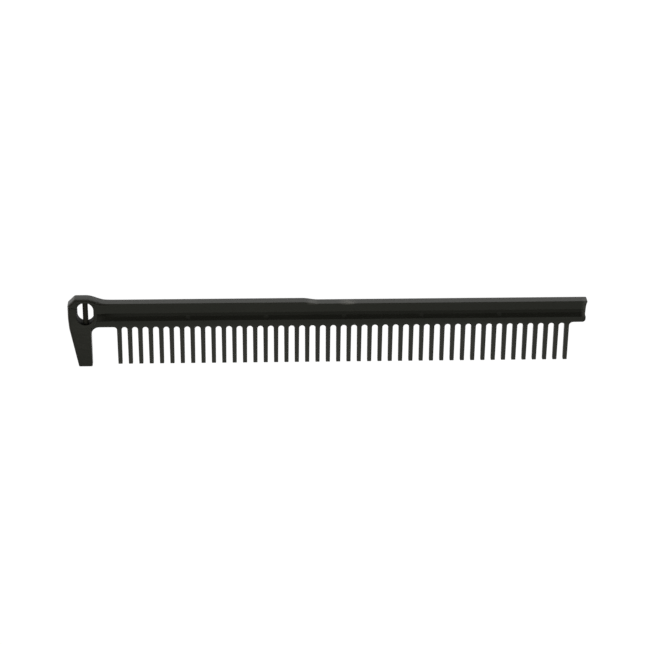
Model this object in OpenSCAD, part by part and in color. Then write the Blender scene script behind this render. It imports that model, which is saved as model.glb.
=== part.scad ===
/* [Overall] */
// Length from the head's outer end to the far end of the spine
comb_len = 178.8; // [140:0.2:220]

/* [Spine] */
// Thickness of the spine, front face to back face
spine_t = 3.6; // [3:0.1:5]
// Height of the spine's top above the tooth roots, on the head's half
spine_h = 9.4; // [8.6:0.05:10]
// How much lower the top is on the other half
spine_step = 0.6; // [0.1:0.05:1]
// Distance from the head's outer end to the start of the step
step_at = 80.4; // [60:0.1:100]
// Length of the ramp down the step
step_len = 5.5; // [2:0.1:12]
// Height of the flat face's lower edge above the tooth roots
face_y = 5.9; // [5:0.05:6.3]
// Height of the line between the two slopes of the flank
flank_y = 4.55; // [3.6:0.05:4.8]
// Height of the slot's lips, where the tooth bar comes out
lip_y = 2.4; // [1.6:0.05:2.9]
// How far the upper slope of the flank leans in
flank_in = 0.2; // [0.1:0.05:0.4]
// Thickness of each lip
lip_t = 0.15; // [0.1:0.05:0.3]
// How far the far end of the spine leans in below its face
end_lean = 0.55; // [0.2:0.05:1.2]
// Height over which the far end leans in
end_lean_h = 1.6; // [0.6:0.1:2]
// Wall that closes the slot at the far end
end_wall = 1.2; // [0.8:0.1:3]
// Radius of the far end's top corner
end_r = 0.5; // [0.2:0.1:1]

/* [Head] */
// Thickness of the head around the eye
head_t = 4.3; // [4:0.1:6]
// Height of the head above the tooth roots
head_h = 11.1; // [10.2:0.1:13]
// Width of the sloped cut on the head's outer corner
head_cut_w = 2.5; // [1:0.1:4]
// Height of the sloped cut on the head's outer corner
head_cut_h = 2.5; // [1:0.1:4]
// Height above the tooth roots where the head's outer edge starts to lean in
head_edge_y = 3.8; // [2:0.1:5]
// Distance from the head's outer end to the start of its slope down to the spine
head_slope_at = 6.2; // [5:0.1:9]
// Length of the slope down to the spine
head_slope_len = 7; // [4:0.1:12]

/* [Eye] */
// Width of the eye
eye_w = 5.7; // [4.5:0.1:6.5]
// Height of the eye
eye_h = 8.45; // [7:0.05:8.7]
// Distance from the head's outer end to the middle of the eye
eye_x = 6; // [5.2:0.1:7]
// Height of the eye's lower end above the tooth roots
eye_y = 1.55; // [1.1:0.05:1.8]
// Wall between the eye and the spine's flank
ring_wall = 1.3; // [0.8:0.1:2]
// Diameter of the bar across the eye
bar_d = 1.7; // [1.2:0.1:2.2]
// Depth of the bar's seat at each end
bar_seat = 0.5; // [0.3:0.05:0.6]

/* [Guard] */
// Length of the guard below the tooth roots
guard_len = 14.95; // [14.5:0.05:22]
// How far its outer edge has moved in at its top
guard_top_x = 0.3; // [0:0.05:1]
// Distance from the head's outer end to the guard's inner face
guard_in = 7.8; // [6.5:0.05:9]
// Width of the guard at its tip
guard_tip_w = 4.65; // [3:0.05:6]
// Thickness of the guard at its tip
guard_tip_t = 2.8; // [1.4:0.1:3]
// Radius of the corners of the guard's tip
guard_r = 0.5; // [0.2:0.1:1]

/* [Tooth bar and teeth] */
// Distance between the middles of two teeth
tooth_pitch = 3.6; // [3:0.1:5]
// Distance from the head's outer end to the middle of the first tooth
first_tooth = 17.4; // [15:0.1:22]
// Least distance from the middle of the last tooth to the far end
tail_min = 6.1; // [4:0.1:12]
// Length of a tooth from the top of its gap
tooth_len = 14.4; // [8:0.05:20]
// Width of a tooth below its root
tooth_w = 1.6; // [1.1:0.02:2]
// Width of a tooth at its tip
tip_w = 1.46; // [0.8:0.02:1.8]
// Thickness of the tooth bar, and of each tooth at its root
plate_t = 1.7; // [1.4:0.1:2]
// Thickness of a tooth at its tip
tip_t = 1.4; // [0.8:0.1:2]
// Radius of the corners of a tooth's tip
tip_r = 0.3; // [0.1:0.05:0.5]
// Height of the tooth bar's tongue above the tooth roots
tongue_y = 7.2; // [6.4:0.1:7.4]
// Radius of the tooth bar's fillet beside the guard
guard_fillet = 2.7; // [1:0.1:4]
// Radius of the fillets outside the first and last teeth
side_fillet = 1.2; // [0.4:0.1:1.4]
// How much higher the tooth bar's lower edge is beyond the last tooth
tail_y = 0.3; // [0:0.05:0.6]
// Radius of the tooth bar's lower corner at the far end
bar_corner = 1.1; // [0.5:0.1:1.2]
// How far the tooth bar stands out past the leaning end of the spine
bar_out = 0.35; // [0.1:0.05:0.6]
// Gap between the tooth bar and the slot or wall that it sits in
slot_gap = 0.05; // [0.02:0.01:0.1]

/* [Pegs] */
// Diameter of a peg
peg_d = 1.6; // [1.2:0.1:2]
// Distance between pegs
peg_pitch = 26.8; // [15:0.1:32]
// Height of the pegs above the tooth roots
peg_y = 4; // [3.8:0.1:4.6]
// Gap round each peg, and round the bar in its seats
pin_gap = 0.02; // [0.01:0.01:0.05]

/* [Hidden] */
$fn = 64;
cut = 1;                  // how far a cutting shape runs past what it cuts
blend_steps = 12;         // straight stretches in a blend curve
peg_count = 5;

// The middle plane, and half thicknesses from it
mid_z = head_t / 2;
face_z = spine_t / 2;
flank_z = face_z - flank_in;
slot_z = plate_t / 2 + slot_gap;
lip_z = slot_z + lip_t;
peg_z = lip_z + (flank_z - lip_z) * (peg_y - lip_y) / (flank_y - lip_y);

// Heights above the tooth roots, and the roots' own place
root_y = (guard_len - head_h) / 2;
far_h = spine_h - spine_step;
eye_r = eye_w / 2;
eye_low = eye_y + eye_r;
eye_high = eye_y + eye_h - eye_r;
ring_r = eye_r + ring_wall;

// Places along the comb, from the head's outer end
tooth_count = floor((comb_len - first_tooth - tail_min) / tooth_pitch) + 1;
last_tooth = first_tooth + (tooth_count - 1) * tooth_pitch;
first_peg = (first_tooth + last_tooth - (peg_count - 1) * peg_pitch) / 2;
spine_end = comb_len - end_lean;
slot_end = spine_end - end_wall;
bar_x = guard_in + slot_gap;
bar_end = spine_end + bar_out;

arch_r = (tooth_pitch - tooth_w) / 2;
tip_y = -tooth_len;

// The guard's outer edge: its lean, and the middle of its rounded corner
guard_lean = atan((guard_in - guard_tip_w - guard_top_x) / guard_len);
corner_y = guard_r - guard_len;
corner_x = guard_top_x - corner_y * tan(guard_lean) + guard_r / cos(guard_lean);

black = [0.16, 0.16, 0.15];
tooth_black = [0.2, 0.2, 0.19];
peg_black = [0.13, 0.13, 0.12];

// Half a cosine wave: points from (x, y) that fall by drop over len
function blend(x, y, len, drop) =
    [for (i = [0 : blend_steps])
        let (u = i / blend_steps)
        [x + u * len, y - drop * (1 - cos(180 * u)) / 2]];

// Moves a piece drawn from the head's outer end and the tooth roots into the part's frame
module place() {
    translate([-comb_len / 2, root_y, 0])
        children();
}

// A flat outline given thickness t about the middle plane
module slab(t) {
    translate([0, 0, mid_z - t / 2])
        linear_extrude(t)
            children();
}

// A profile of heights and distances from the middle plane, carried from x0 to x1
module along(x0, x1) {
    translate([x0, 0, mid_z])
        rotate([90, 0, 90])
            linear_extrude(x1 - x0)
                children();
}

// An upright oval of radius r round the eye's middle line
module oval(r) {
    for (y = [eye_low, eye_high])
        translate([eye_x, y])
            circle(r);
    translate([eye_x - r, eye_low])
        square([2 * r, eye_high - eye_low]);
}

// Everything under the top line, from the head to the leaning far end
module top_outline() {
    difference() {
        polygon(concat(
            [[0, 0], [0, head_h]],
            blend(head_slope_at, head_h, head_slope_len, head_h - spine_h),
            blend(step_at, spine_h, step_len, spine_step),
            [[comb_len, far_h], [comb_len, face_y + end_lean_h], [spine_end, face_y], [spine_end, 0]]));
        corner(comb_len, far_h, end_r, -1);
    }
}

// The spine's section: flat faces, then two slopes in to the lips
module spine_section() {
    polygon([
        [head_h, face_z], [face_y, face_z], [flank_y, flank_z], [lip_y, lip_z],
        [lip_y, -lip_z], [flank_y, -flank_z], [face_y, -face_z], [head_h, -face_z]]);
}

// The head's outer half, flat, as far as the middle of the eye
module head_outline() {
    polygon([
        [guard_top_x, 0], [0, head_edge_y], [0, head_h - head_cut_h],
        [head_cut_w, head_h], [eye_x, head_h], [eye_x, 0]]);
}

// The ring's half beside the spine, flat
module ring_outline() {
    intersection() {
        oval(ring_r);
        top_outline();
    }
}

// The guard, flat: it narrows from the foot of the eye to a rounded tip
module guard_outline() {
    polygon([
        [guard_top_x, 0],
        [corner_x - guard_r * cos(guard_lean), corner_y - guard_r * sin(guard_lean)],
        [corner_x, corner_y], [corner_x, -guard_len],
        [guard_in - guard_r, -guard_len], [guard_in - guard_r, corner_y],
        [guard_in, corner_y], [guard_in, eye_low], [guard_top_x, eye_low]]);
    for (x = [corner_x, guard_in - guard_r])
        translate([x, corner_y])
            circle(guard_r);
}

// Head and guard from the side: full thickness at the eye, thinner to the guard's tip
module guard_section() {
    tip_z = guard_tip_t / 2;
    polygon([
        [head_h, mid_z], [0, mid_z], [-guard_len, tip_z],
        [-guard_len, -tip_z], [0, -mid_z], [head_h, -mid_z]]);
}

// Room for the tooth bar's tongue: open between the lips, closed by the ring and the end wall
module slot_outline() {
    difference() {
        translate([guard_in, 0])
            square([slot_end - guard_in, tongue_y + slot_gap]);
        oval(ring_r);
    }
}

// A round rod of diameter d where peg i goes
module peg_rod(i, d, len) {
    translate([first_peg + (i - 1) * peg_pitch, peg_y, mid_z - len / 2])
        cylinder(h = len, d = d);
}

// A round rod of diameter d on the eye bar's line, from seat to seat
module bar_rod(d) {
    translate([eye_x, eye_y - bar_seat, mid_z])
        rotate([-90, 0, 0])
            cylinder(h = eye_h + 2 * bar_seat, d = d);
}

module peg_holes() {
    for (i = [1 : peg_count])
        peg_rod(i, peg_d + 2 * pin_gap, head_t);
}

module spine() {
    color(black)
        place()
            difference() {
                intersection() {
                    along(eye_x, comb_len) spine_section();
                    slab(spine_t) top_outline();
                }
                slab(head_t) oval(ring_r);
                slab(2 * slot_z) slot_outline();
                peg_holes();
            }
}

// The head with its ring and guard; the spine meets it along the ring's outer wall
module head() {
    color(black)
        place()
            difference() {
                intersection() {
                    along(0, eye_x + ring_r) guard_section();
                    union() {
                        slab(head_t) head_outline();
                        slab(head_t) ring_outline();
                        slab(head_t) guard_outline();
                    }
                }
                slab(head_t + 2 * cut) oval(eye_r);
                bar_rod(bar_d + 2 * pin_gap);
            }
}

// What a circle of radius r leaves in the corner under a level edge, on one side of x
module corner(x, y, r, side) {
    difference() {
        translate([side > 0 ? x : x - r, y - r])
            square(r);
        translate([x + side * r, y - r])
            circle(r);
    }
}

// The tooth bar, flat: tongue above, stubs of the teeth below, tail at the far end
module bar_outline() {
    half_w = tooth_w / 2;
    tail_top = lip_y - slot_gap;
    difference() {
        union() {
            translate([bar_x, 0])
                square([slot_end - slot_gap - bar_x, tongue_y]);
            translate([first_tooth - half_w, -arch_r])
                square([last_tooth - first_tooth + tooth_w, 2 * arch_r]);
        }
        for (i = [0 : tooth_count - 2])
            translate([first_tooth + (i + 0.5) * tooth_pitch, -arch_r])
                circle(arch_r);
        oval(ring_r + slot_gap);
        translate([last_tooth + half_w, 0])
            square([comb_len, tail_y]);
    }
    translate([last_tooth + half_w, tail_y])
        square([bar_end - bar_corner - last_tooth - half_w, tail_top - tail_y]);
    translate([bar_end - bar_corner, tail_y + bar_corner])
        square([bar_corner, tail_top - tail_y - bar_corner]);
    intersection() {
        translate([bar_end - bar_corner, tail_y + bar_corner])
            circle(bar_corner);
        square([comb_len, tail_top]);
    }
    corner(bar_x, 0, guard_fillet, 1);
    corner(first_tooth - half_w, 0, side_fillet, -1);
    corner(last_tooth + half_w, tail_y, side_fillet, 1);
}

module tooth_bar() {
    color(tooth_black)
        place()
            difference() {
                slab(plate_t) bar_outline();
                peg_holes();
            }
}

// One tooth, from the foot of its gaps' arches to its tip, thinner and narrower all the way
module tooth() {
    half_w = tooth_w / 2;
    round_x = tip_w / 2 - tip_r;
    round_y = tip_y + tip_r;
    intersection() {
        slab(plate_t) {
            polygon([
                [-half_w, -arch_r], [half_w, -arch_r], [tip_w / 2, round_y], [round_x, round_y],
                [round_x, tip_y], [-round_x, tip_y], [-round_x, round_y], [-tip_w / 2, round_y]]);
            for (side = [-1, 1])
                translate([side * round_x, round_y])
                    circle(tip_r);
        }
        along(-tooth_w, tooth_w)
            polygon([
                [-arch_r, plate_t / 2], [tip_y, tip_t / 2],
                [tip_y, -tip_t / 2], [-arch_r, -plate_t / 2]]);
    }
}

module teeth() {
    color(tooth_black)
        place()
            for (i = [0 : tooth_count - 1])
                translate([first_tooth + i * tooth_pitch, 0, 0])
                    tooth();
}

module eye_bar() {
    color(tooth_black)
        place()
            bar_rod(bar_d);
}

module peg(i) {
    color(peg_black)
        place()
            peg_rod(i, peg_d, 2 * peg_z);
}

spine();
head();
tooth_bar();
teeth();
eye_bar();
peg(1);  // peg_1
peg(2);  // peg_2
peg(3);  // peg_3
peg(4);  // peg_4
peg(5);  // peg_5
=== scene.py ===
import bmesh
import bpy
import numpy as np
from mathutils import Matrix, Vector


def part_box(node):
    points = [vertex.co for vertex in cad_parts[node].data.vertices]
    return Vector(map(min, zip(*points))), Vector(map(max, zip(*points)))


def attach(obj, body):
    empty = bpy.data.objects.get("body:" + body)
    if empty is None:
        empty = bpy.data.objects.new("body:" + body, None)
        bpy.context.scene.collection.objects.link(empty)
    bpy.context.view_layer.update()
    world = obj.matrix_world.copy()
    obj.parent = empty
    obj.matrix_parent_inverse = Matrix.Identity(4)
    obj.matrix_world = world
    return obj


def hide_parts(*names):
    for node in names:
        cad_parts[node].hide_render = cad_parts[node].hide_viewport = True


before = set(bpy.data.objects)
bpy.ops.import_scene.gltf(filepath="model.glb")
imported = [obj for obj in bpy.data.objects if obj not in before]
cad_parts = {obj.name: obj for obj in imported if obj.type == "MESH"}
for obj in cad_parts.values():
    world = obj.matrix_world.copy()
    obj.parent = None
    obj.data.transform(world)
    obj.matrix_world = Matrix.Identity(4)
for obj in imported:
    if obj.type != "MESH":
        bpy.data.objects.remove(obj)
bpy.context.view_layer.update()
print("frame loaded")

# Pieces are worked out in millimetres: x and y as in the frame, z from the comb's middle plane.
millimetre = 0.001


def nodeBox(name):
    low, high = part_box(name)
    return np.array(low) / millimetre, np.array(high) / millimetre


headLow, headHigh = nodeBox("head")
spineLow, spineHigh = nodeBox("spine")
stripLow, stripHigh = nodeBox("tooth_bar")
teethLow, teethHigh = nodeBox("teeth")
barLow, barHigh = nodeBox("eye_bar")
pegNames = sorted(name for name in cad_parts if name.startswith("peg_"))

midZ = (headLow[2] + headHigh[2]) / 2
headX = headLow[0]
headHalf = (headHigh[2] - headLow[2]) / 2
spineHalf = (spineHigh[2] - spineLow[2]) / 2
stripHalf = (stripHigh[2] - stripLow[2]) / 2


def halfWave(u):
    # rises from 0 to 1 as half a cosine wave while u goes from 0 to 1
    return (1 - np.cos(np.pi * np.clip(u, 0, 1))) / 2


def spaced(*stretches):
    # evenly spaced places along several stretches, each given as (start, end, steps)
    parts = [np.linspace(start, end, steps, endpoint=False) for start, end, steps in stretches]
    return np.concatenate(parts + [[stretches[-1][1]]])


def arcPoints(centre, radius, startAngle, endAngle, steps):
    # points on a circle, or an ellipse of two radii, from one angle to the other, in degrees
    angle = np.radians(np.linspace(startAngle, endAngle, steps + 1))
    return centre + np.stack([np.cos(angle), np.sin(angle)], -1) * radius


def gridFaces(rows, columns, wrapRows=False, wrapColumns=False):
    # quads between neighbours of a rows by columns grid of points
    i = np.arange(rows if wrapRows else rows - 1)[:, None]
    j = np.arange(columns if wrapColumns else columns - 1)[None, :]
    nextI = (i + 1) % rows
    nextJ = (j + 1) % columns
    corners = [i * columns + j, i * columns + nextJ, nextI * columns + nextJ, nextI * columns + j]
    return np.stack(corners, -1).reshape(-1, 4)


def outwardNormals(outline):
    # unit normals of a closed outline that runs anticlockwise: the mean of its two edges' own
    edge = np.roll(outline, -1, 0) - outline
    edge /= np.maximum(np.linalg.norm(edge, axis=1, keepdims=True), 1e-9)
    mean = edge + np.roll(edge, 1, 0)
    mean /= np.maximum(np.linalg.norm(mean, axis=1, keepdims=True), 1e-9)
    return np.stack([mean[:, 1], -mean[:, 0]], -1)


def roundedOutline(corners, spacing, arcSteps):
    # a closed outline through (x, y, radius) corners: straight edges, with an arc at each corner
    points = np.array([corner[:2] for corner in corners], float)
    radii = [corner[2] for corner in corners]
    pieces = []
    for k in range(len(points)):
        toLast = points[k - 1] - points[k]
        toNext = points[(k + 1) % len(points)] - points[k]
        toLast /= np.linalg.norm(toLast)
        toNext /= np.linalg.norm(toNext)
        turn = np.arctan2(np.cross(-toLast, toNext), np.dot(-toLast, toNext))
        tangent = radii[k] * np.tan(abs(turn) / 2)
        middle = toLast + toNext
        middle /= np.linalg.norm(middle)
        centre = points[k] + middle * radii[k] / np.cos(turn / 2)
        first = points[k] + toLast * tangent - centre
        startAngle = np.degrees(np.arctan2(first[1], first[0]))
        pieces.append(arcPoints(centre, radii[k], startAngle, startAngle + np.degrees(turn), arcSteps))
    filled = []
    for k, piece in enumerate(pieces):
        filled.append(piece)
        start, end = piece[-1], pieces[(k + 1) % len(pieces)][0]
        steps = int(np.linalg.norm(end - start) / spacing) + 1
        share = np.linspace(0, 1, steps + 1)[1:-1, None]
        filled.append(start + (end - start) * share)
    return np.concatenate(filled)


def signedVolume(points, faces):
    # sums the tetrahedra from the origin to each half of each quad
    a, b, c, d = (points[faces[:, k]] for k in range(4))
    first = np.einsum("ij,ij->i", a, np.cross(b, c))
    second = np.einsum("ij,ij->i", a, np.cross(c, d))
    return (first + second).sum() / 6


def addShell(shells, points, quads, edge, polygons=(), eyeWallShade=None):
    # keeps one closed shell for makePiece, with its faces turned outwards
    points = np.asarray(points, float).reshape(-1, 3)
    flipped = signedVolume(points, quads) < 0
    faces = quads[:, ::-1] if flipped else quads
    start = sum(len(shell[0]) for shell in shells)
    rings = [list(reversed(ring)) if flipped else list(ring) for ring in polygons]
    faceList = (faces + start).tolist() + [[index + start for index in ring] for ring in rings]
    slots = np.zeros(len(faceList), np.int32)
    if eyeWallShade is not None:
        slots[:len(eyeWallShade)] = eyeWallShade
    shells.append((points, faceList, np.asarray(edge, float).ravel(), slots))


def makePiece(name, shells, replaced, materials):
    # one Blender object from closed shells; "edge" is 1 on rims and 0 on open faces, and the materials
    # lighten the rims by it, partly as wear and partly as a painted highlight
    points = np.concatenate([shell[0] for shell in shells]) + [0, 0, midZ]
    mesh = bpy.data.meshes.new(name)
    mesh.from_pydata((points * millimetre).tolist(), [], sum((shell[1] for shell in shells), []))
    edge = mesh.attributes.new("edge", "FLOAT", "POINT")
    edge.data.foreach_set("value", np.concatenate([shell[2] for shell in shells]).astype(np.float32))
    mesh.polygons.foreach_set("material_index", np.concatenate([shell[3] for shell in shells]))
    work = bmesh.new()
    work.from_mesh(mesh)
    bmesh.ops.remove_doubles(work, verts=work.verts, dist=1e-7)
    bmesh.ops.dissolve_degenerate(work, edges=work.edges, dist=1e-8)
    work.to_mesh(mesh)
    work.free()
    mesh.polygons.foreach_set("use_smooth", np.ones(len(mesh.polygons), bool))
    mesh.update()
    piece = bpy.data.objects.new(name, mesh)
    bpy.context.scene.collection.objects.link(piece)
    for material in materials:
        mesh.materials.append(material)
    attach(piece, "root")
    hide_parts(*replaced)
    return piece


class Wire:
    # a socket of a material's node tree; arithmetic on it adds Math nodes

    def __init__(self, tree, socket=None):
        self.tree = tree
        self.socket = socket

    def node(self, kind, settings=None, inputs=None, output=0):
        made = self.tree.nodes.new(kind)
        for key, value in (settings or {}).items():
            setattr(made, key, value)
        for key, value in (inputs or {}).items():
            if isinstance(value, Wire):
                self.tree.links.new(value.socket, made.inputs[key])
            else:
                made.inputs[key].default_value = value
        return Wire(self.tree, made.outputs[output] if len(made.outputs) else None)

    def math(self, operation, first, second, clamp=False):
        settings = {"operation": operation, "use_clamp": clamp}
        return self.node("ShaderNodeMath", settings, {0: first, 1: second})

    def __add__(self, other):
        return self.math("ADD", self, other)

    def __sub__(self, other):
        return self.math("SUBTRACT", self, other)

    def __rsub__(self, other):
        return self.math("SUBTRACT", other, self)

    def __mul__(self, other):
        return self.math("MULTIPLY", self, other)

    __radd__ = __add__
    __rmul__ = __mul__

    def between(self, low, high):
        # 0 below low, 1 above high, straight between them
        return self.math("MULTIPLY", self - low, 1 / (high - low), clamp=True)

    def mixColour(self, first, second):
        # first where this is 0, second where it is 1
        settings = {"data_type": "RGBA"}
        return self.node("ShaderNodeMix", settings, {0: self, 6: first, 7: second}, output=2)

    def stretched(self, scale, place=(0, 0, 0)):
        # a place turned into a pattern's own coordinates
        return self.node("ShaderNodeMapping", {}, {"Vector": self, "Location": place, "Scale": scale})

    def noise(self, scale, detail=2.0, roughness=0.5):
        inputs = {"Vector": self, "Scale": scale, "Detail": detail, "Roughness": roughness}
        return self.node("ShaderNodeTexNoise", {}, inputs)


plasticFinish = dict(
    black=(0.0095, 0.0095, 0.0070, 1),
    # the lighter grey of the rims and patches: partly wear, partly painted highlight
    wearAndHighlightGrey=(0.16, 0.155, 0.14, 1),
    roughness=0.36,
    specular=0.30,
    specularTint=(0.98, 1.0, 0.88, 1),
    rimWearAndHighlight=0.08,        # share of the lighter grey on every rim, partly wear and partly painted highlight
    patchWear=0.11,       # and how much more of it where the rim is rubbed
    grainSize=0.22,
    grainDepth=0.0016,
    streakDepth=0.0012,
    streakScale=(60, 1400, 1400),       # flow streaks, long in x
    cloudScale=70.0, speckleScale=900.0, rubScale=450.0,
    lightPatchScale=(300, 1500, 1500),
    shadeDepth=0.3,       # how much the cloud and the streaks each change the black
)
toothFinish = dict(
    plasticFinish, black=(0.016, 0.016, 0.0135, 1), roughness=0.42,
    paintedLitTeethBlack=(0.044, 0.044, 0.039, 1),      # the teeth are painted lighter than the band above them, standing in for light coming through them
    fade=(1.2, -2.5),                       # where that starts and ends, above the tooth roots
)
pegFinish = dict(plasticFinish, black=(0.017, 0.017, 0.014, 1), roughness=0.45)
# a duller finish with weak reflection for the eye's rim and inner wall: painted shade standing in for the
# shade inside the eye
eyeWallShadeFinish = dict(plasticFinish, black=(0.022, 0.022, 0.019, 1), roughness=0.6, specular=0.05)
barFinish = dict(plasticFinish, black=(0.032, 0.030, 0.024, 1), roughness=0.5, specular=0.10)


def plastic(name, finish, lighterPatches=()):
    # black moulded plastic: fine grain, lengthwise flow streaks, rims lightened partly as wear and partly
    # as painted highlight, and a few lighter patches, most of them painted highlights
    material = bpy.data.materials.new(name)
    material.use_nodes = True
    tree = material.node_tree
    tree.nodes.clear()
    start = Wire(tree)
    place = start.node("ShaderNodeTexCoord", output="Object")
    edge = start.node("ShaderNodeAttribute", {"attribute_name": "edge"}, output="Fac")

    grain = place.noise(1 / (finish["grainSize"] * millimetre), detail=3.0)
    streaks = place.stretched(finish["streakScale"]).noise(1.0, detail=4.0, roughness=0.6)
    cloud = place.noise(finish["cloudScale"], detail=3.0)
    speckle = place.noise(finish["speckleScale"], detail=2.0).between(0.60, 0.74)

    rubbed = place.noise(finish["rubScale"], detail=4.0).between(0.35, 0.65)
    rub = cloud.between(0.35, 0.7) * rubbed
    # rims and the patches below are mixed toward the lighter grey: rim wear plus painted highlight
    wearAndHighlight = edge * (rub * finish["patchWear"] + finish["rimWearAndHighlight"])
    # lighter patches given by centre, size and strength; most of them are painted highlights
    for centre, size, strength in lighterPatches:
        scale = [1 / (length * millimetre) for length in size]
        away = place.stretched(scale, [-c * millimetre * s for c, s in zip(centre, scale)])
        far = start.node("ShaderNodeVectorMath", {"operation": "LENGTH"}, {0: away}, output="Value")
        patchy = place.stretched(finish["lightPatchScale"]).noise(1.0, detail=5.0, roughness=0.65)
        wearAndHighlight = wearAndHighlight + (1 - far.between(0.35, 1.0)) * patchy.between(0.30, 0.62) * strength
    wearAndHighlight = wearAndHighlight.between(0.0, 1.0)

    black = finish["black"]
    # painted light: the black lightens down the teeth
    if "paintedLitTeethBlack" in finish:
        height = start.node("ShaderNodeSeparateXYZ", {}, {"Vector": place}, output="Y")
        low, high = [(rootY + level) * millimetre for level in finish["fade"]]
        black = height.between(low, high).mixColour(black, finish["paintedLitTeethBlack"])
    depth = finish["shadeDepth"]
    shade = cloud.between(0.2, 0.8) * depth + streaks * depth + (1 - depth)
    black = start.node("ShaderNodeVectorMath", {"operation": "SCALE"}, {
        0: black if isinstance(black, Wire) else black[:3], "Scale": shade})
    colour = wearAndHighlight.mixColour(black, finish["wearAndHighlightGrey"])

    rough = finish["roughness"] + (streaks - 0.5) * 0.10 + (grain - 0.5) * 0.08
    rough = rough + speckle * 0.06 + wearAndHighlight * 0.20
    height = grain * finish["grainDepth"] + streaks * finish["streakDepth"]
    bump = start.node("ShaderNodeBump", {}, {
        "Strength": 1.0, "Distance": millimetre, "Height": height})
    surface = start.node("ShaderNodeBsdfPrincipled", {}, {
        "Base Color": colour, "Roughness": rough, "Normal": bump,
        "Specular IOR Level": finish["specular"], "Specular Tint": finish["specularTint"]})
    start.node("ShaderNodeOutputMaterial", {}, {"Surface": surface})
    return material


spine = dict(
    startX=9.25,          # inside the ring, from the head's outer end
    ringX=10.15,          # the ring's edge
    blendLength=6.5,      # the face comes down from the ring to the spine over this length
    headSlope=(6.2, 7.0, 1.7),     # where the top comes down from the head, over what length, how far
    step=(80.4, 5.5, 0.6),          # the same for the step halfway along
    faceY=5.9, flankY=4.55,         # the flank's two lines, above the tooth roots
    flankHalf=1.6, lipHalf=1.05, slotHalf=0.9, slotTop=7.25,
    frontRim=0.22, backRim=0.15,    # rounding along the top
    ringRim=1.1,          # the front rim is this wide where the spine leaves the ring
    crease=0.07,          # rounding of the flank's lines
    solidEnd=1.75,        # solid behind the slot's far end
    endFill=2.5, endFillLength=1.7,     # the flank fills out to the face from here, over this length
    ringFill=0.75, ringFillLength=3.5,  # and by this share where it leaves the ring
    endTaper=0.35,        # and stays this much thinner at the lip
    endRound=0.45, endCorner=0.45,
    endLean=0.56, endLeanReach=1.4,     # the end leans in below its top corner
    sunk=0.006,           # how far the buried start lies under the head's surface
    sampled=(15.0, 79.0, 87.5),     # sections lie close up to the first, and between the other two
)

toothCount = 44
toothWidth = 1.6
pitch = (teethHigh[0] - teethLow[0] - toothWidth) / (toothCount - 1)
archRadius = (pitch - toothWidth) / 2
rootY = teethHigh[1] + archRadius
farX = spineHigh[0]
lipY = spineLow[1] - rootY
eyeSeat = 0.5             # how far the bar goes into the eye's wall at each end
eyeRadius = 2.85
eyeX = (barLow[0] + barHigh[0]) / 2 - headX
eyeLow = barLow[1] + eyeSeat + eyeRadius - rootY
eyeHigh = barHigh[1] - eyeSeat - eyeRadius - rootY


def topLine(x):
    # height of the top above the tooth roots: the head's height, less the slope, less the step
    height = headHigh[1] - rootY
    for start, length, drop in (spine["headSlope"], spine["step"]):
        height = height - drop * halfWave((x - start) / length)
    return height


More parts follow.
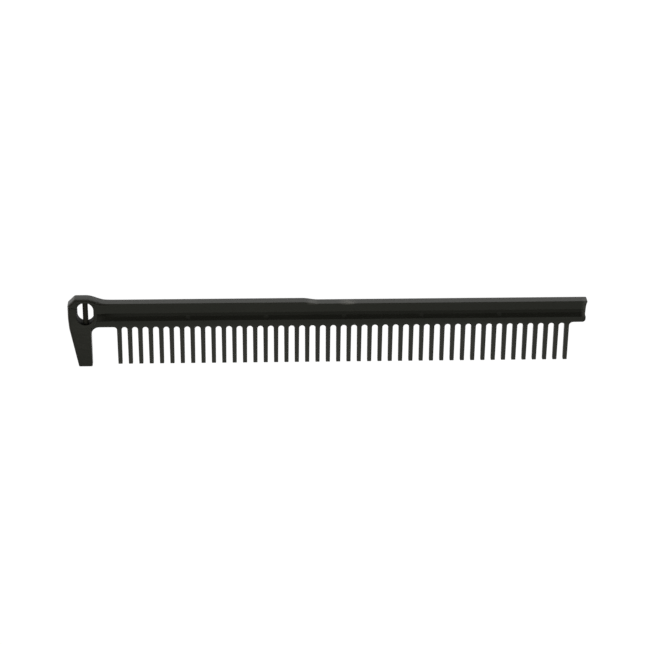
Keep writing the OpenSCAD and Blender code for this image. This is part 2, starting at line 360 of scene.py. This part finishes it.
def spineShell(shells):
    # a section carried along x: each side runs from the slot's lip up the flank, the face and a
    # quarter round to the top; thickness and height follow x, and the far end rolls in as a
    # quarter circle while its points lean back by an exponential of their depth below the top
    s = spine
    length = farX - headX
    slotStart, slotEnd = s["ringX"] + 0.05, length - s["solidEnd"]
    before = spaced((s["startX"], slotStart, 6))
    nearStep, pastStep = s["sampled"][1:]
    slotted = spaced(
        (slotStart, s["sampled"][0], 26), (s["sampled"][0], nearStep, 16),
        (nearStep, pastStep, 40), (pastStep, slotEnd - 1.0, 22), (slotEnd - 1.0, slotEnd, 6))
    after = spaced((slotEnd, length - s["endRound"] - 0.1, 6))
    roll = np.radians(np.linspace(0, 90, 9))
    rolled = length - s["endRound"] * (1 - np.sin(roll))
    x = np.concatenate([before, slotted, after, rolled])
    slotShare = np.zeros(len(x))
    slotShare[len(before):len(before) + len(slotted)] = 1
    inset = np.concatenate([np.zeros(len(x) - len(roll)), 1 - np.cos(roll)])[:, None]

    buried = 1 - halfWave((x - s["ringX"] + 0.6) / 1.2)
    fromRing = 1 - halfWave((x - s["ringX"] + 0.25) / s["blendLength"])
    top = (topLine(x) - s["sunk"] * buried)[:, None]
    extra = ((headHalf - spineHalf) * fromRing - s["sunk"] * buried)[:, None]
    faceZ = spineHalf + extra
    farFilled = halfWave((x - length + s["endFill"]) / s["endFillLength"])
    ringFilled = s["ringFill"] * (1 - halfWave((x - s["ringX"]) / s["ringFillLength"]))
    filled = np.maximum(farFilled, ringFilled)[:, None]

    # the flank's fixed points: height, half thickness, share of the ring's extra thickness, edge
    c = s["crease"]
    lowSlope = (s["flankHalf"] - s["lipHalf"]) / (s["flankY"] - lipY)
    highSlope = (spineHalf - s["flankHalf"]) / (s["faceY"] - s["flankY"])
    fixed = np.array([
        [lipY, s["lipHalf"], 0, 0.6],
        [lipY + 0.05, s["lipHalf"] + 0.02, 0, 0.3],
        [lipY + 0.8, s["lipHalf"] + 0.8 * lowSlope, 0, 0],
        [s["flankY"] - c * 2, s["flankHalf"] - c * 2 * lowSlope, 0, 0],
        [s["flankY"] - c, s["flankHalf"] - c * lowSlope, 0, 0.3],
        [s["flankY"] + c, s["flankHalf"] + c * highSlope, 0.05, 0.3],
        [s["flankY"] + c * 2, s["flankHalf"] + c * 2 * highSlope, 0.1, 0],
        [s["faceY"] - c * 2, spineHalf - c * 2 * highSlope, 0.85, 0],
        [s["faceY"] - c, spineHalf - c * highSlope, 0.95, 0.3],
        [s["faceY"] + c, spineHalf, 1, 0.3],
        [s["faceY"] + c * 2, spineHalf, 1, 0],
    ])
    rim = np.radians(np.linspace(0, 90, 9))
    above = np.linspace(0.25, 0.97, 5)

    def side(rimSize):
        flankY = fixed[:, 0] + 0 * top
        flankZ = fixed[:, 1] + fixed[:, 2] * extra
        fill = faceZ - s["endTaper"] * np.clip((s["faceY"] - flankY) / (s["faceY"] - lipY), 0, 1)
        flankZ = flankZ + (fill - flankZ) * filled
        faceY = s["faceY"] + (top - rimSize - s["faceY"]) * above
        y = np.concatenate([flankY, faceY, top - rimSize * (1 - np.sin(rim)), top], 1)
        z = np.concatenate([
            flankZ, faceZ + 0 * faceY, faceZ - rimSize * (1 - np.cos(rim)), 0.5 * faceZ], 1)
        edge = np.concatenate([fixed[:, 3], np.zeros(5), np.sin(2 * rim), [0]])
        # the last 1.9 mm before the far end counts as rim all round: a painted highlight where the end
        # turns toward the light
        return y, z, np.maximum(edge[None], halfWave((x[:, None] - length + 1.9) / 1.4))

    frontRim = s["frontRim"] + (s["ringRim"] - s["frontRim"]) * fromRing[:, None]
    frontY, frontZ, frontEdge = side(frontRim)
    backY, backZ, backEdge = side(s["backRim"] + 0 * top)
    slotY = lipY + (s["slotTop"] - lipY) * slotShare[:, None] * [0, 1, 1, 0]
    slotZ = s["slotHalf"] * np.array([-1, -1, 1, 1]) + 0 * top
    ringY = np.concatenate([frontY, backY[:, ::-1], slotY], 1)
    ringZ = np.concatenate([frontZ, -backZ[:, ::-1], slotZ], 1)
    ringEdge = np.concatenate([frontEdge, backEdge[:, ::-1], 0 * slotY], 1)

    # the far end
    outside = np.arange(ringY.shape[1]) < ringY.shape[1] - 4
    dip = halfWave((ringY - s["faceY"]) / (top - s["faceY"])) * outside
    lean = s["endLean"] * (1 - np.exp(-np.maximum(top - ringY, 0) / s["endLeanReach"]))
    nearEnd = np.clip((x - slotEnd) / (length - slotEnd), 0, 1)[:, None]
    ringX = x[:, None] - lean * nearEnd
    ringY = ringY - s["endCorner"] * inset * dip
    pulled = np.clip(abs(ringZ) / s["endRound"] - 0.1, 0, 1)
    ringZ = ringZ - np.sign(ringZ) * s["endRound"] * inset * pulled

    points = np.stack([ringX + headX, ringY + rootY, ringZ], -1)
    rows, columns = ringY.shape
    half = frontY.shape[1]
    k = np.arange(half - 1)
    ladder = np.stack([k, k + 1, 2 * half - 2 - k, 2 * half - 1 - k], -1)
    base = [0, 2 * half - 1] + list(range(2 * half, 2 * half + 4))
    last = (rows - 1) * columns
    quads = np.concatenate([gridFaces(rows, columns, wrapColumns=True), ladder[:, ::-1], last + ladder])
    addShell(shells, points, quads, ringEdge, [base[::-1], [last + index for index in base]])


head = dict(
    cut=(2.5, 2.5), cutRound=0.9, edgeY=3.8, slantX=0.3,
    guardIn=7.8, guardTip=4.7, guardRound=0.4, guardTipHalf=1.4,
    ringRadius=3.8, eyeRim=0.2,
    ringUnder=(3.76, 2.644),        # how far below the eye's lower centre the ring meets the guard and ends
    rim=0.22,             # rounding of most front edges
    sideRim=1.3,          # of the head's outer edge
    topRim=1.1,           # of its top edge
    backRim=0.15,         # of every back edge
)


def headShell(shells):
    # for each point of the outline, the eye's nearest point is found along the line from the
    # eye's middle line; the surface is a quarter round, a face and the eye's own quarter round
    h = head
    height = headHigh[1] - rootY
    tipY = headLow[1] - rootY
    ringX = headHigh[0] - headX
    outline = roundedOutline([
        (ringX, height, 0.5), (h["cut"][0], height, h["cutRound"]),
        (0, height - h["cut"][1], h["cutRound"]), (0, h["edgeY"], 6.0), (h["slantX"], 0, 6.0),
        (h["guardIn"] - h["guardTip"], tipY, h["guardRound"]), (h["guardIn"], tipY, h["guardRound"]),
        (h["guardIn"], eyeLow - h["ringUnder"][0], 0.3),
        (ringX, eyeLow - h["ringUnder"][1], h["ringRadius"]),
    ], spacing=0.35, arcSteps=14)
    x, y = outline[:, 0], outline[:, 1]
    y = y - (height - topLine(x)) * np.clip((y - 7.5) / (height - 7.5), 0, 1)
    outline = np.stack([x, y], -1)
    normal = outwardNormals(outline)

    # the front rim is wide on the outer edge and on top, and narrows to the guard's tip
    outer = halfWave((-normal[:, 0] - 0.25) / 0.7) * np.clip((y - tipY) / (8.0 - tipY), 0, 1)
    upper = halfWave((normal[:, 1] - 0.2) / 0.6)
    wider = np.maximum((h["sideRim"] - h["rim"]) * outer, (h["topRim"] - h["rim"]) * upper)
    frontRim = h["rim"] + wider
    quarter = np.radians(np.linspace(0, 90, 9))

    def faceHalf(level):
        return headHalf + (h["guardTipHalf"] - headHalf) * np.clip(level / tipY, 0, 1)

    def side(rim):
        # one side's rings, from the outer wall in to the eye's wall
        rings = [outline - normal * (rim * (1 - np.cos(angle)))[:, None] for angle in quarter]
        heights = [faceHalf(ring[:, 1]) - rim * (1 - np.sin(angle)) for ring, angle in zip(rings, quarter)]
        inner = rings[-1]
        middle = np.stack([0 * x + eyeX, np.clip(inner[:, 1], eyeLow, eyeHigh)], -1)
        away = inner - middle
        away /= np.linalg.norm(away, axis=1, keepdims=True)
        eyeEdge = middle + away * (eyeRadius + h["eyeRim"])
        for share in (0.02, 0.1, 0.25, 0.45, 0.65, 0.82, 0.95):
            rings.append(inner + (eyeEdge - inner) * share)
            heights.append(faceHalf(rings[-1][:, 1]))
        for angle in quarter[::-1]:
            rings.append(middle + away * (eyeRadius + h["eyeRim"] * (1 - np.cos(angle))))
            heights.append(0 * x + headHalf - h["eyeRim"] * (1 - np.sin(angle)))
        return np.concatenate([np.array(rings), np.array(heights)[..., None]], -1)

    front, back = side(frontRim), side(h["backRim"] + 0 * x)[::-1] * [1, 1, -1]
    points = np.concatenate([front, back]) + [headX, rootY, 0]
    edge = np.concatenate([np.sin(2 * quarter), np.zeros(7), 0.5 * np.sin(2 * quarter)])
    edge = np.repeat(np.concatenate([edge, edge[::-1]])[:, None], len(x), 1)
    quads = gridFaces(len(points), len(x), wrapRows=True, wrapColumns=True)
    row = np.arange(len(quads)) // len(x)
    # the rows round the eye's inner wall take the second material, a painted shade for the inside of the
    # eye
    addShell(shells, points, quads, edge, eyeWallShade=abs(row - len(front) + 1) <= 4)


strip = dict(
    tipWidth=1.46, tipHalf=0.7, tipRound=0.2,
    rimAcross=0.1, rimDeep=0.1,
    startX=7.1, guardX=7.85, guardFillet=2.7, firstFillet=1.2, lastFillet=1.5,
    tailY=0.3, cornerRound=1.1, tongueY=7.2, gap=0.05, ringRadius=4.2,
)


def stripShell(shells):
    # the lower outline runs from the guard round every tooth to the far end, the upper one comes
    # back inside the slot; tooth sides pair left with right, all else pairs straight up
    t = strip
    halfWidth = toothWidth / 2
    length = farX - headX
    firstTooth = teethLow[0] + halfWidth - headX
    centres = firstTooth + pitch * np.arange(toothCount)
    tipY = teethLow[1] - rootY
    endX = stripHigh[0] - headX
    tongueEnd = length - spine["solidEnd"] - t["gap"]
    tailTop = lipY - t["gap"]

    # one tooth's right side, from its tip up to its root, mirrored for the left
    tipCentre = (t["tipWidth"] / 2 - t["tipRound"], tipY + t["tipRound"])
    corner = arcPoints(tipCentre, t["tipRound"], -90, 0, 6)
    share = np.linspace(0, 1, 9)[1:, None]
    side = corner[-1] + (np.array([halfWidth, -archRadius]) - corner[-1]) * share
    right = np.concatenate([corner, side])
    left = right[::-1] * [-1, 1]
    arch = arcPoints((pitch / 2, -archRadius), archRadius, 180, 0, 14)[1:-1]

    fillet = arcPoints((t["guardX"] + t["guardFillet"], -t["guardFillet"]), t["guardFillet"], 180, 90, 16)
    firstRoot = firstTooth - halfWidth
    firstSide = arcPoints(
        (firstRoot - t["firstFillet"], -archRadius), (t["firstFillet"], archRadius), 90, 0, 9)[:-1]
    levelX = np.linspace(fillet[-1, 0], firstSide[0, 0], 8)[1:-1]
    start = np.concatenate([
        [[t["startX"], -t["guardFillet"]]], fillet, np.stack([levelX, 0 * levelX], -1), firstSide])
    lastRoot = centres[-1] + halfWidth
    lastRadii = (t["lastFillet"], archRadius + t["tailY"])
    lastSide = arcPoints((lastRoot + t["lastFillet"], -archRadius), lastRadii, 180, 90, 9)[1:]
    bend = arcPoints(
        (endX - t["cornerRound"], t["tailY"] + t["cornerRound"]), t["cornerRound"], -90, 0, 9)
    end = np.concatenate([lastSide, [[(lastSide[-1, 0] + bend[0, 0]) / 2, t["tailY"]]], bend])

    lower, kind, tooth = [start], [np.zeros(len(start))], []
    count = len(start)
    for k, centre in enumerate(centres):
        lower += [left + [centre, 0], right + [centre, 0]]
        kind += [np.r_[0, np.ones(len(left) - 1)], np.r_[np.ones(len(right) - 1), 0]]
        tooth.append(count)
        count += 2 * len(left)
        if k < toothCount - 1:
            lower.append(arch + [centre, 0])
            kind.append(np.zeros(len(arch)))
            count += len(arch)
    lower = np.concatenate(lower + [end])
    kind = np.concatenate(kind + [np.zeros(len(end))])
    web = np.flatnonzero(kind == 0)

    # the upper line over a given x: round the ring, along the tongue, then the tail
    def upperY(x):
        ring = eyeLow - np.sqrt(np.maximum(t["ringRadius"] ** 2 - (x - eyeX) ** 2, 0))
        y = np.where(x < eyeX + t["ringRadius"], ring, t["tongueY"])
        return np.where(x > tongueEnd, tailTop, y)

    turned = np.concatenate([lower, [[endX, tailTop]], [[t["startX"], 0.2]]])
    lowerNormal = outwardNormals(turned)[:len(lower)]
    flatInset = lower - lowerNormal * (t["rimAcross"] + 0.05)
    upperX = np.clip(flatInset[web, 0], t["startX"], endX)
    upperX[0], upperX[-1] = t["startX"], endX
    upper = np.stack([upperX, upperY(upperX)], -1)[::-1]
    outline = np.concatenate([lower, upper])
    normal = np.concatenate([lowerNormal, np.tile([0.0, 1.0], (len(upper), 1))])
    half = stripHalf + (t["tipHalf"] - stripHalf) * np.clip(
        (-archRadius - outline[:, 1]) / (-archRadius - tipY), 0, 1)

    quarter = np.radians(np.linspace(0, 90, 7))
    insets = np.append(t["rimAcross"] * (1 - np.cos(quarter)), t["rimAcross"] + 0.05)
    drops = np.append(t["rimDeep"] * (1 - np.sin(quarter)), 0)
    edges = np.append(np.sin(2 * quarter), 0)
    front = outline[None] - normal[None] * insets[:, None, None]
    z = half[None] - drops[:, None]
    front = np.concatenate([front, z[..., None]], -1)
    points = np.concatenate([front, front[::-1] * [1, 1, -1]]) + [headX, rootY, 0]
    edge = np.repeat(np.concatenate([edges, edges[::-1]])[:, None], len(outline), 1)
    rows, columns = edge.shape
    quads = gridFaces(rows, columns, wrapColumns=True)
    wall = len(edges) - 1
    # the grid's first and last rows are the two side walls' rims, joined to each other here
    first = np.arange(columns)
    after = (first + 1) % columns
    quads = np.concatenate([quads, np.stack([
        first, (rows - 1) * columns + first, (rows - 1) * columns + after, after], -1)])
    quads = quads[np.arange(len(quads)) // columns != wall]

    # caps on the flat rows: rungs across each tooth, columns from the lower line to the upper
    size = len(left)
    rung = np.arange(size - 1)
    rungs = np.stack([rung, rung + 1, 2 * size - 2 - rung, 2 * size - 1 - rung], -1)
    rungs = (np.array(tooth)[:, None, None] + rungs[None]).reshape(-1, 4)
    above = columns - 1 - np.arange(len(web))
    columnsUp = np.stack([web[:-1], web[1:], above[1:], above[:-1]], -1)
    cap = np.concatenate([rungs, columnsUp])
    quads = np.concatenate([quads, wall * columns + cap, (wall + 1) * columns + cap[:, ::-1]])
    addShell(shells, points, quads, edge)


eyeBar = dict(swell=0.08, flare=0.25, flareLength=0.5)
pegShape = dict(proud=0.02, rim=0.08)


def eyeBarShell(shells):
    # a circle carried along y, wider near each end of the eye
    radius = (barHigh[0] - barLow[0]) / 2 + eyeBar["swell"]
    low, high = barLow[1], barHigh[1]
    y = spaced((low, low + eyeSeat, 3), (low + eyeSeat, low + 2.0, 12),
               (low + 2.0, high - 2.0, 10), (high - 2.0, high - eyeSeat, 12),
               (high - eyeSeat, high, 3))
    fromEnd = np.minimum(y - low, high - y) - eyeSeat
    wide = radius + eyeBar["flare"] * np.exp(-np.maximum(fromEnd, 0) / eyeBar["flareLength"])
    wide = np.where(fromEnd < -0.1, radius - eyeBar["swell"] - 0.01, wide)
    angle = np.linspace(0, 2 * np.pi, 32, endpoint=False)
    x = (barLow[0] + barHigh[0]) / 2 + wide[:, None] * np.cos(angle)
    z = wide[:, None] * np.sin(angle)
    points = np.stack([x, np.repeat(y[:, None], 32, 1), z], -1)
    quads = gridFaces(len(y), 32, wrapColumns=True)
    last = (len(y) - 1) * 32
    addShell(shells, points, quads, np.zeros(len(y) * 32), [range(31, -1, -1), range(last, last + 32)])


def flankHalf(y):
    # half thickness of the flank at a height above the tooth roots
    s = spine
    return np.interp(y, [lipY, s["flankY"], s["faceY"]], [s["lipHalf"], s["flankHalf"], spineHalf])


def pegShell(shells, name):
    # discs that follow the flank, a hair proud of it, joined by a round wall
    low, high = nodeBox(name)
    radius = (high[0] - low[0]) / 2
    centreX, centreY = (low[:2] + high[:2]) / 2
    angle = np.linspace(0, 2 * np.pi, 28, endpoint=False)
    across = radius * np.array([1, 0.985, 0.95, 0.9, 0.6, 0.3])
    drop = pegShape["rim"] * np.array([1, 0.45, 0.1, 0, 0, 0])
    x = centreX + across[:, None] * np.cos(angle)
    y = centreY + across[:, None] * np.sin(angle)
    z = flankHalf(y - rootY) + pegShape["proud"] - drop[:, None]
    front = np.stack([x, y, z], -1)
    points = np.concatenate([front[::-1], front * [1, 1, -1]])
    edge = np.repeat(np.array([0, 0, 0, 0.5, 1, 0.5, 0.5, 1, 0.5, 0, 0, 0])[:, None], 28, 1)
    quads = gridFaces(12, 28, wrapColumns=True)
    last = 11 * 28
    addShell(shells, points, quads, edge, [range(27, -1, -1), range(last, last + 28)])


def onTop(x):
    # a place on the front edge of the top, at this distance from the frame's middle
    return x, rootY + topLine(np.array(x - headX)).item(), midZ + spineHalf * 0.5


spinePlastic = plastic("spinePlastic", plasticFinish, lighterPatches=[
    # a lighter patch on the top's front edge
    (onTop(6.8), (3.6, 0.5, 3.2), 1.0),
    # a painted highlight on the step in the top, where the slope faces the light
    (onTop(-5.4), (2.6, 0.6, 3.2), 0.7),
    # a painted highlight on the far end's front, where it turns toward the light
    ((spineHigh[0] - 0.7, spineLow[1] + 4, spineHigh[2]), (1.6, 9.0, 4.0), 0.40),
    # a faint painted lightening of the guard face, which tilts away from the light
    ((headX + 5.0, rootY - 3.0, headHigh[2]), (9.0, 14.0, 5.0), 0.10),
])
eyeWallShadePlastic = plastic("eyeWallShadePlastic", eyeWallShadeFinish)
toothPlastic = plastic("toothPlastic", toothFinish)
barPlastic = plastic("barPlastic", barFinish)
pegPlastic = plastic("pegPlastic", pegFinish)
print("materials made")

shells = []
headShell(shells)
spineShell(shells)
makePiece("spineAndHead", shells, ["spine", "head"], [spinePlastic, eyeWallShadePlastic])
shells = []
stripShell(shells)
makePiece("toothStrip", shells, ["tooth_bar", "teeth"], [toothPlastic])
shells = []
eyeBarShell(shells)
makePiece("eyeBar", shells, ["eye_bar"], [barPlastic])
for pegName in pegNames:
    shells = []
    pegShell(shells, pegName)
    makePiece("joining_" + pegName, shells, [pegName], [pegPlastic])
print("pieces made")


studio = dict(
    floorSize=6.0, floorDrop=0.00005,       # the floor lies this far below the comb, in metres
    floorGlow=1.0, floorShade=0.12,
    world=0.05, worldColour=(1.0, 0.99, 0.95, 1),
)


def makeFloor():
    size = studio["floorSize"] / 2
    z = -studio["floorDrop"]
    corners = [(-size, -size, z), (size, -size, z), (size, size, z), (-size, size, z)]
    mesh = bpy.data.meshes.new("floor")
    mesh.from_pydata(corners, [], [(0, 1, 2, 3)])
    floor = bpy.data.objects.new("floor", mesh)
    bpy.context.scene.collection.objects.link(floor)
    material = bpy.data.materials.new("floorPaper")
    material.use_nodes = True
    shader = material.node_tree.nodes["Principled BSDF"]
    shade = studio["floorShade"]
    shader.inputs["Base Color"].default_value = (shade, shade, shade, 1)
    shader.inputs["Roughness"].default_value = 0.9
    shader.inputs["Specular IOR Level"].default_value = 0.1
    shader.inputs["Emission Color"].default_value = (1, 1, 1, 1)
    shader.inputs["Emission Strength"].default_value = studio["floorGlow"]
    mesh.materials.append(material)


softboxes = dict(
    overhead=dict(place=(0, -0.14, 1.1), size=(1.6, 1.48), radiance=0.86, colour=(0.98, 1.0, 0.97)),
    side=dict(place=(-1.3, 0, 0.35), size=(0.6, 1.2), radiance=0.8, colour=(1.0, 0.72, 0.5)),
)


def makeLight(name, place, size, radiance, colour):
    # an area light that faces the comb; power = radiance times area times pi
    data = bpy.data.lights.new(name, "AREA")
    data.shape = "RECTANGLE"
    data.size, data.size_y = size
    data.energy = radiance * size[0] * size[1] * np.pi
    data.color = colour
    light = bpy.data.objects.new(name, data)
    light.location = place
    light.rotation_euler = Vector(place).to_track_quat("Z", "Y").to_euler()
    bpy.context.scene.collection.objects.link(light)


def makeWorld():
    world = bpy.data.worlds.new("studioWorld")
    world.use_nodes = True
    background = world.node_tree.nodes["Background"]
    background.inputs["Color"].default_value = studio["worldColour"]
    background.inputs["Strength"].default_value = studio["world"]
    bpy.context.scene.world = world


cameraView = dict(
    lens=126.3, distance=784.29, aim=(7.30, -4.70), origin=(5.4, -2.775, 2.2),
    tilt=27.386, turn=2.183, roll=-0.438,
)


def makeCamera():
    # the comb is turned, tilted and rolled in front of a camera at the given distance,
    # and that same turn is undone here for the camera
    v = cameraView
    tilt = Matrix.Rotation(np.radians(v["tilt"]), 3, "X")
    turn = Matrix.Rotation(np.radians(v["turn"]), 3, "Y")
    roll = Matrix.Rotation(np.radians(v["roll"]), 3, "Z")
    rotation = (roll @ tilt @ turn).transposed()
    away = Vector((-v["aim"][0], -v["aim"][1], v["distance"]))
    place = (rotation @ away + Vector(v["origin"])) * millimetre
    data = bpy.data.cameras.new("camera")
    data.lens = v["lens"]
    data.sensor_width = 36
    data.clip_start = 0.01
    camera = bpy.data.objects.new("camera", data)
    camera.matrix_world = Matrix.Translation(place) @ rotation.to_4x4()
    bpy.context.scene.collection.objects.link(camera)
    bpy.context.scene.camera = camera


makeFloor()
makeWorld()
for lightName, values in softboxes.items():
    makeLight(lightName, **values)
makeCamera()
bpy.context.scene.view_settings.view_transform = "Standard"
print("studio made")
